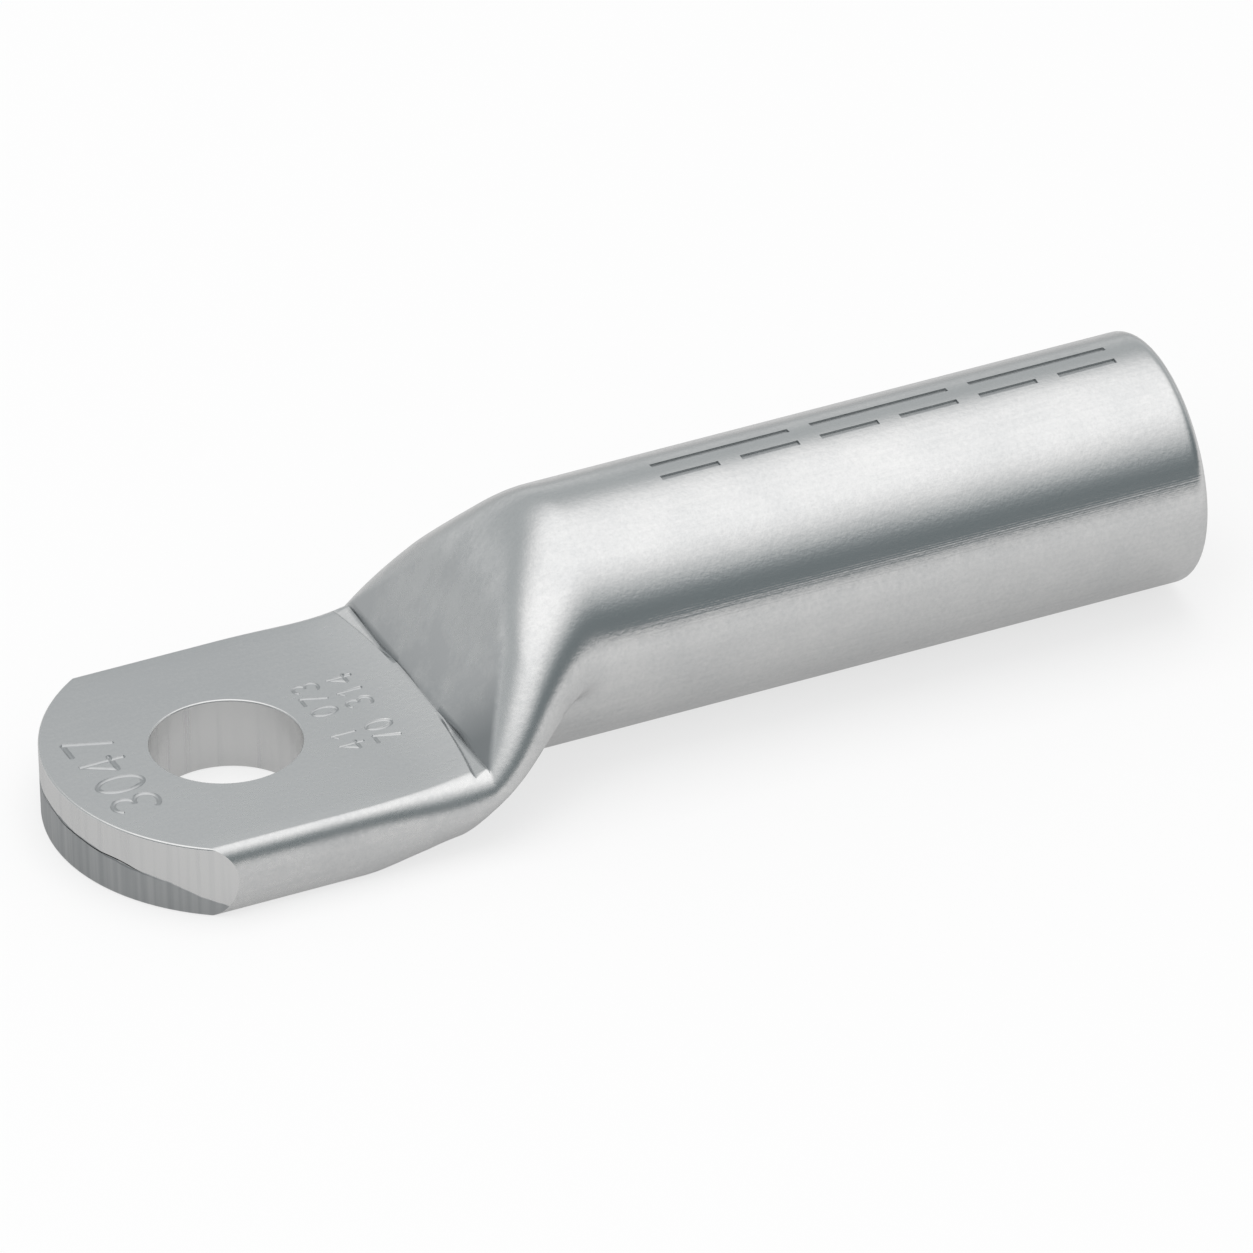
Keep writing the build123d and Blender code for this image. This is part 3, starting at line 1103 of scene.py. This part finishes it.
@dataclass(frozen=True)
class BareAluminium:
    """Finish of the bare, pickled aluminium: satin, mottled, with drawn lines along the tube, and with
    painted shade in the fine lines by the ledges and the crease, in the stamped grooves, on the facet's
    corner and foot, on the palm's far side and on the torn lower wall of its end.
    """

    colour: Colour = (0.93, 0.93, 0.925, 1.0)
    # Grey of the duller patches, and of painted shade
    dull_colour: Colour = (0.77, 0.78, 0.785, 1.0)
    # Colour of the painted shade, and of the torn lower wall of the palm's end
    torn_colour: Colour = (0.40, 0.42, 0.43, 1.0)
    roughness: float = 0.2
    roughness_swing: float = 0.12
    grain_size: float = 0.44 * MM
    grain_height: float = 0.016 * MM
    fine_ratio: float = 2.3
    patch_scale: float = 170.0
    cloud_scale: float = 330.0
    streak_scale: Point = (1500.0, 1500.0, 40.0)
    drawn_scale: Point = (60.0, 1300.0, 1300.0)
    line_angle: float = 1.23
    line_spread: float = 0.16
    # Painted shade on the palm's far side
    far_side: Span = (-8.0 * MM, 16.0 * MM)
    far_from: float = 6.0 * MM
    # Painted shade along the facet's foot and on its near corner
    foot_fade: Span = (0.4 * MM, 3.0 * MM)
    corner_side: float = 12.5 * MM
    corner_reach: Span = (7.0 * MM, 8.0 * MM)
    facet_edge: Span = (-1.4 * MM, -0.4 * MM)
    facet_end: Span = (21.5 * MM, 26.5 * MM)
    tube_fade: Span = (-3.0 * MM, 9.0 * MM)
    hole_clear: float = 8.0 * MM
    torn_flat: float = 11.0 * MM
    torn_fall: float = 45.0
    torn_waver: float = 0.7 * MM
    torn_blur: float = 0.06 * MM
    gap_blur: Span = (0.04 * MM, 0.16 * MM)
    gap_end: Span = (9.0 * MM, 12.5 * MM)

    def material(self, sizes: LugSizes, palm: PalmCuts) -> bpy.types.Material:
        """Build the node tree.

        Args:
            sizes: The lug's sizes, for patterns that follow its parts.
            palm: The cuts in the palm, for the same.

        Returns:
            The material.
        """
        made = bpy.data.materials.new("bare_aluminium")
        made.use_nodes = True
        kit = NodeKit(made.node_tree)
        coordinates = kit.node("ShaderNodeTexCoord").outputs["Object"]
        x, y, z = kit.split(coordinates)
        sheared = kit.out(kit.node("ShaderNodeAttribute", {"attribute_name": "sheared"}), "Fac")
        stamped = kit.out(kit.node("ShaderNodeAttribute", {"attribute_name": "stamped"}), "Fac")

        grain = self._noise(kit, coordinates, 1 / self.grain_size, 3.0, 0.6)
        fine = self._noise(kit, coordinates, self.fine_ratio / self.grain_size, 1.0)
        patches = self._noise(kit, coordinates, self.patch_scale, 3.0)
        clouds = self._noise(kit, coordinates, self.cloud_scale, 2.0)
        drawn, scratch = self._lines(kit, sizes, coordinates, x, y, z)
        streaks = self._noise(kit, self._stretched(kit, coordinates, self.streak_scale), 1.0, 3.0)
        torn = self._torn(palm, sheared, x, y, z, clouds)
        pressed = self._on_facet(sizes, x, y, z)

        # How dull the skin is, with painted shade: rougher, and greyer as painted shade, on the facet's
        # corner and foot and on the far side
        past = x - sizes.crease_distance
        # Painted shade: greyer and darker on the palm's far side
        far_side = y.share(*self.far_side) * (1.0 - x.share(self.far_from, sizes.crease_distance))
        skin = 0.4 + (grain - 0.5) * 1.0 + (fine - 0.5) * 0.5 + (patches - 0.5) * 1.0 + (drawn - 0.5) * 0.6
        skin = skin + far_side * 0.6
        # Painted shade along the facet's foot by the crease and on its near corner
        foot = 1.0 - past.share(*self.foot_fade)
        inward, up = self.corner_reach
        corner = 1.0 - (past / inward + (y + self.corner_side).size() / up).held()
        facet = skin + (clouds - 0.5) * 1.8 + (patches - 0.5) * 1.8 + corner * 1.2 + foot * 0.45
        wall = (streaks - 0.5) * 1.5 + 0.05
        dull = between(between(skin, facet, pressed), wall, sheared).held()
        # The mottled tone, with the painted shade above blended into it
        worn = kit.blended(dull, self.colour, self.dull_colour)
        # Painted shade: darker inside the stamped figures and marks, and in the fine lines by the ledges and
        # the crease
        sunk = (z < sizes.palm_thickness) * 0.45 + (x > sizes.barrel_start_x) * 0.5
        crevice = self._crevices(kit, sizes, palm, x, y, z) + stamped * sunk
        # Painted shade: the dark lower wall of the palm's end, the facet, most at its near corner and foot,
        # and the far side. The lower wall's roughness and bumps are its own
        deep = torn * (0.75 + (streaks - 0.5) * 0.5) + pressed * (0.1 + corner * 0.95 + foot * 0.16)
        deep = deep + far_side * 0.09 + crevice
        colour = kit.blended(deep.held(), worn, self.torn_colour)

        pickled = 1.0 - x.share(sizes.crease_distance, sizes.barrel_start_x)
        rough = self.roughness + (dull - 0.4) * self.roughness_swing + pickled * 0.09 + torn * 0.2
        coarse = (1.0 - 0.15 * pickled) * (1.0 - 0.4 * pressed)
        height = (grain * 0.75 + fine * 0.25) * coarse + drawn * 0.2 + scratch * 0.17
        height = between(height, streaks * 1.4 + torn * clouds * 3.0, sheared)
        bump = kit.node(
            "ShaderNodeBump", values={"Strength": 1.0, "Distance": self.grain_height, "Height": height}
        )
        shader = kit.node(
            "ShaderNodeBsdfPrincipled",
            values={"Base Color": colour, "Metallic": 1.0, "Roughness": rough, "Normal": bump.outputs[0]},
        )
        kit.feed(kit.node("ShaderNodeOutputMaterial").inputs[0], shader.outputs[0])
        return made

    @staticmethod
    def _noise(
        kit: NodeKit, vector: bpy.types.NodeSocket, scale: float, detail: float, rough: float = 0.55
    ) -> Value:
        """Noise from 0 to 1 on a vector."""
        values = {"Vector": vector, "Scale": scale, "Detail": detail, "Roughness": rough}
        return kit.out(kit.node("ShaderNodeTexNoise", {"noise_dimensions": "3D"}, values), 0)

    @staticmethod
    def _stretched(kit: NodeKit, vector: bpy.types.NodeSocket, scale: Point) -> bpy.types.NodeSocket:
        """A vector with a scale of its own on each axis."""
        return kit.node("ShaderNodeVectorMath", {"operation": "MULTIPLY"}, {0: vector, 1: scale}).outputs[0]

    def _lines(
        self, kit: NodeKit, sizes: LugSizes, coordinates: bpy.types.NodeSocket, x: Value, y: Value, z: Value
    ) -> Spot:
        """Lines that the drawing die left along the tube, by angle round its axis.

        Args:
            kit: The material's tree.
            sizes: The lug's sizes.
            coordinates: Object coordinates.
            x: Place along the lug.
            y: Place across it.
            z: Height.

        Returns:
            The fine lines all over, and the few deeper ones low on the sides.
        """
        turn = kit.math("ARCTAN2", y, z - sizes.barrel_radius)
        start, end = self.tube_fade
        on_tube = x.eased(sizes.barrel_start_x + start, sizes.barrel_start_x + end)
        round_tube = self._noise(kit, kit.vector(x * 11.0, turn * 30.0), 1.0, 4.0, 0.7)
        flat = self._noise(kit, self._stretched(kit, coordinates, self.drawn_scale), 1.0, 2.0)
        near = 1.0 - ((turn.size() - self.line_angle).size() / self.line_spread).held()
        deep = self._noise(kit, kit.vector(x * 7.0, turn * 55.0, 3.0), 1.0, 1.0)
        return between(flat, round_tube, on_tube), near * on_tube * (deep - 0.5) * 5.0

    def _torn(self, palm: PalmCuts, sheared: Value, x: Value, y: Value, z: Value, clouds: Value) -> Value:
        """1 on the lower wall of the palm's end, which tore off below the seam, and on a line along the seam.
        The wall is rough, and its dark colour is painted shade.
        """
        bow = y * y / (2.0 * palm.seam_bow_radius)
        outer = (y.size() - self.torn_flat).most(0.0)
        edge = palm.seam_height - bow - outer * outer * self.torn_fall + (clouds - 0.5) * self.torn_waver
        outside = (x * x + y * y) > self.hole_clear**2
        below = 1.0 - z.share(edge - self.torn_blur, edge + self.torn_blur)
        gap = (1.0 - (z - edge).size().share(*self.gap_blur)) * (1.0 - y.size().share(*self.gap_end))
        return sheared * outside * (below + gap * 0.9)

    def _on_facet(self, sizes: LugSizes, x: Value, y: Value, z: Value) -> Value:
        """1 on the flat facet that the press left above the crease."""
        half = sizes.palm_width / 2 - sizes.palm_top_inset - sizes.palm_top_narrowing
        tip = sizes.barrel_radius * math.sin(math.radians(sizes.facet_tip_half_angle))
        drawn_in = ((x - sizes.crease_distance) / sizes.facet_narrowing_run).held()
        beside = between(half, tip, drawn_in) - y.size()
        above = z > sizes.crease_height - 0.1 * MM
        ends = (x > sizes.crease_distance) * (1.0 - x.eased(*self.facet_end))
        return beside.share(*self.facet_edge) * above * ends

    @staticmethod
    def _crevices(kit: NodeKit, sizes: LugSizes, palm: PalmCuts, x: Value, y: Value, z: Value) -> Value:
        """Painted shade: dark in the fine lines before and behind the press ledges, and along the crease at
        the facet's foot.
        """
        half = sizes.palm_width / 2 - sizes.palm_top_inset
        centre, bow = palm.ledge_arc()
        aside = y.size()
        front = centre + kit.math("SQRT", bow**2 - y * y)
        reach = (aside > palm.ledge_gap / 2) * (1.0 - aside.share(half - 0.6 * MM, half + 0.4 * MM))
        # Painted shade along the front edge of each ledge
        step = (1.0 - (x - front + 0.12 * MM).size().share(0.06 * MM, 0.24 * MM)) * reach
        # Painted shade in a line along the crease
        foot = 1.0 - (x - sizes.crease_distance).size().share(0.1 * MM, 0.32 * MM)
        foot = foot * (0.35 + 0.65 * reach) * (1.0 - aside.share(half - 1.2 * MM, half))
        return (step * 0.55).most(foot * 0.65) * (z > sizes.crease_height - 2 * palm.ledge_drop)


@dataclass
class CableLug:
    """The whole lug: pressed skin, cuts, marks and finish."""

    sizes: LugSizes = field(default_factory=LugSizes)
    finish: BareAluminium = field(default_factory=BareAluminium)
    sharp_angle: float = 32.0
    rows: Tuple[FigureRow, ...] = (
        FigureRow("3047", -8.6 * MM, 4.0 * MM, 3.3 * MM, 0.17 * MM, 0.52 * MM),
        FigureRow("41 073", 10.4 * MM, 2.2 * MM, 2.0 * MM, 0.12 * MM, 0.36 * MM),
        FigureRow("70 314", 13.6 * MM, 2.2 * MM, 2.0 * MM, 0.12 * MM, 0.36 * MM),
    )

    def build(self) -> bpy.types.Object:
        """Make and dress the one piece, put it under the root body and hide the imported part."""
        body = PressedSkin(self.sizes).build()
        self._smooth(body.data)
        normals = SkinNormals(body.data)
        palm = PalmCuts(self.sizes)
        cuts = {
            "palm end": [palm.end_trim()],
            "press ledge": palm.ledge(),
            "crease": [palm.crease_score()],
            "bolt hole": [palm.bolt_hole()],
            "wall seam": [palm.seam()],
            "bore and hollow": [Hollow(self.sizes).tool()],
            "guide marks": CrimpMarks(self.sizes).tools(),
            "figures": Figures(self.sizes, self.rows).tools(),
        }
        for name, tools in cuts.items():
            cut_away(body, tools, name)
        self._finish_mesh(body.data, normals)
        body.data.materials.clear()
        body.data.materials.append(self.finish.material(self.sizes, palm))
        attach(body, "root")
        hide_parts("cable_lug")
        log.info("lug: %d faces", len(body.data.polygons))
        return body

    def _smooth(self, mesh: bpy.types.Mesh) -> None:
        """Shade smooth up to the sharp edges."""
        mesh.polygons.foreach_set("use_smooth", [True] * len(mesh.polygons))
        mesh.set_sharp_from_angle(angle=math.radians(self.sharp_angle))

    def _finish_mesh(self, mesh: bpy.types.Mesh, normals: SkinNormals) -> None:
        """Keep the zones as an attribute and set the shading.

        Args:
            mesh: The cut lug.
            normals: The normals of the skin before it was cut.
        """
        count = len(mesh.polygons)
        zones = [0] * count
        mesh.polygons.foreach_get("material_index", zones)
        for kind in (Zone.SHEARED, Zone.STAMPED):
            made = mesh.attributes.new(kind.name.lower(), "FLOAT", "FACE")
            made.data.foreach_set("value", [1.0 if zone == kind.value else 0.0 for zone in zones])
        mesh.polygons.foreach_set("material_index", [0] * count)
        self._smooth(mesh)
        normals.give(mesh, zones, Vector((self.sizes.palm_end_centre_x, 0.0, 0.0)))
        mesh.update()


# Studio


@dataclass
class Studio:
    """Pale floor, soft light from above that dims to the horizon, and the camera."""

    floor_half: float = 4.0
    fill: float = 0.7
    front_light: Tuple[Span, ...] = (
        (0.0, 0.17), (14.0, 0.17), (20.0, 0.19), (26.0, 0.28), (32.0, 0.46), (39.0, 0.6),
        (46.0, 0.76), (53.0, 0.88), (60.0, 0.98), (90.0, 1.0),
    )
    back_light: Tuple[Span, ...] = (
        (0.0, 0.34), (8.0, 0.58), (16.0, 0.5), (22.0, 0.42), (34.0, 0.42), (41.0, 0.54),
        (47.0, 0.72), (53.0, 0.85), (60.0, 0.95), (90.0, 1.0),
    )
    cool_red: float = 0.24
    cool_blue: float = 0.08
    # Greys of the floor in reflections: painted shade near the lug, a painted contact shadow under the
    # barrel, dimmer far off
    floor_contact: float = 0.16
    floor_under: float = 0.5
    floor_near: float = 0.59
    floor_far: float = 0.38
    floor_glow: float = 0.65
    floor_seen: float = 0.8
    floor_seen_glow: float = 0.7
    footprint_middle: float = 36.0 * MM
    footprint_half: float = 51.0 * MM
    contact_fade: Span = (0.0, 0.005)
    contact_from: Span = (0.02, 0.03)
    near_fade: Span = (0.006, 0.05)
    dim_fades: Tuple[Span, Span] = ((0.06, 0.2), (0.2, 1.5))
    facing_fade: Span = (-0.35, 0.35)
    camera_place: Point = (-0.54332, -1.32834, 0.91196)
    camera_turn: Point = (58.0292, 1.3968, -24.4701)
    lens: float = 580.74
    sensor: float = 36.0
    lamps_face: Point = (0.04, 0.0, 0.0)

    def build(self) -> None:
        """Set up everything around the lug."""
        bpy.context.scene.view_settings.view_transform = "Standard"
        self._world()
        self._floor()
        self._lamps()
        self._camera()

    def _world(self) -> None:
        """White to the camera. Metal sees a soft box overhead that falls to a dim horizon."""
        world = bpy.data.worlds.new("studio")
        world.use_nodes = True
        bpy.context.scene.world = world
        kit = NodeKit(world.node_tree)
        _, y, z = kit.split(kit.node("ShaderNodeTexCoord").outputs["Generated"])
        front, back = (self._by_height(kit, z, stops) for stops in (self.front_light, self.back_light))
        around = kit.blended(y.eased(*self.facing_fade), front, back)
        path = kit.node("ShaderNodeLightPath")
        glossy = kit.out(path, "Is Glossy Ray")
        straight = kit.out(path, "Is Camera Ray").most(kit.out(path, "Is Transmission Ray"))
        plain = (1.0, 1.0, 1.0, 1.0)
        strength = between(self.fill, 1.0, glossy.most(straight))
        seen = kit.blended(glossy, plain, around)
        background = kit.node("ShaderNodeBackground", values={"Color": seen, "Strength": strength})
        kit.feed(kit.node("ShaderNodeOutputWorld").inputs[0], background.outputs[0])

    def _by_height(self, kit: NodeKit, z: Value, stops: Sequence[Span]) -> bpy.types.NodeSocket:
        """Colour of the surroundings by elevation, a little cooler where they are dim.

        Args:
            kit: The world's tree.
            z: Sine of the elevation.
            stops: Pairs of elevation in degrees and brightness.

        Returns:
            The colour.
        """
        places = []
        for angle, grey in stops:
            dim = (1.0 - grey) ** 3
            colour = (grey * (1.0 - self.cool_red * dim), grey, grey * (1.0 + self.cool_blue * dim), 1.0)
            places.append((math.sin(math.radians(angle)), colour))
        return kit.node("ShaderNodeValToRGB", {"stops": places}, {0: z}).outputs[0]

    def _floor(self) -> None:
        """Pale floor that keeps a light shadow and reads white to the camera. To reflections it glows with
        painted shade: greyer near the lug, with a painted contact shadow under the barrel, and dimmer far
        off.
        """
        half = self.floor_half
        mesh = bpy.data.meshes.new("floor")
        corners = [(-half, -half, 0.0), (half, -half, 0.0), (half, half, 0.0), (-half, half, 0.0)]
        mesh.from_pydata(corners, [], [(0, 1, 2, 3)])
        mesh.transform(Matrix.Translation((0.0, 0.0, -0.05 * MM)))
        floor = new_object("floor", mesh)
        made = bpy.data.materials.new("pale_floor")
        made.use_nodes = True
        kit = NodeKit(made.node_tree)
        path = kit.node("ShaderNodeLightPath")
        camera, glossy = kit.out(path, "Is Camera Ray"), kit.out(path, "Is Glossy Ray")
        along, aside, _ = kit.split(kit.node("ShaderNodeTexCoord").outputs["Object"])
        # Painted shade in reflections: greyer under and near the lug, a painted contact shadow under the
        # barrel, dimmer far off
        past_end = ((along - self.footprint_middle).size() - self.footprint_half).most(0.0)
        away = kit.math("SQRT", past_end * past_end + aside * aside)
        contact = (1.0 - away.eased(*self.contact_fade)) * along.share(*self.contact_from)
        near = between(self.floor_under, self.floor_near, away.eased(*self.near_fade))
        near = between(near, self.floor_contact, contact)
        first, second = self.dim_fades
        dimmed = away.eased(*first) * 0.6 + away.eased(*second) * 0.4
        shade = between(between(near, self.floor_far, dimmed), self.floor_seen, camera)
        grey = kit.node("ShaderNodeCombineColor", values={0: shade, 1: shade, 2: shade})
        plain = kit.node("ShaderNodeBsdfDiffuse", values={"Color": grey.outputs[0]})
        seen = kit.blended(camera, grey.outputs[0], (1.0, 1.0, 1.0, 1.0))
        glow = kit.node("ShaderNodeEmission", values={"Color": seen, "Strength": 1.0})
        share = camera * self.floor_seen_glow + glossy * self.floor_glow
        mixed = kit.node("ShaderNodeMixShader", values={0: share, 1: plain.outputs[0], 2: glow.outputs[0]})
        kit.feed(kit.node("ShaderNodeOutputMaterial").inputs[0], mixed.outputs[0])
        mesh.materials.append(made)

    def _lamps(self) -> None:
        """Wide soft lamps above and beside the table."""
        self._lamp("top_lamp", (0.05, 0.1, 1.3), 1.2, 9.0)
        self._lamp("side_lamp", (-0.9, -0.7, 0.9), 0.8, 3.0)

    def _lamp(self, name: str, place: Point, width: float, power: float) -> None:
        """Hang one square lamp that faces the lug.

        Args:
            name: The lamp's name.
            place: Where it hangs.
            width: Side of the square.
            power: Watts.
        """
        data = bpy.data.lights.new(name, "AREA")
        data.shape = "SQUARE"
        data.size = width
        data.energy = power
        lamp = bpy.data.objects.new(name, data)
        bpy.context.scene.collection.objects.link(lamp)
        lamp.location = place
        lamp.rotation_euler = (Vector(self.lamps_face) - Vector(place)).to_track_quat("-Z", "Y").to_euler()
        lamp.visible_glossy = False

    def _camera(self) -> None:
        """Camera at the photograph's place."""
        data = bpy.data.cameras.new("camera")
        data.sensor_width = self.sensor
        data.lens = self.lens
        data.clip_end = 20.0
        camera = bpy.data.objects.new("camera", data)
        bpy.context.scene.collection.objects.link(camera)
        camera.location = self.camera_place
        camera.rotation_euler = Euler([math.radians(a) for a in self.camera_turn], "XYZ")
        bpy.context.scene.camera = camera


def main() -> None:
    """Build the lug and the studio."""
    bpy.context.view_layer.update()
    CableLug().build()
    Studio().build()


if __name__ == "__main__":
    main()
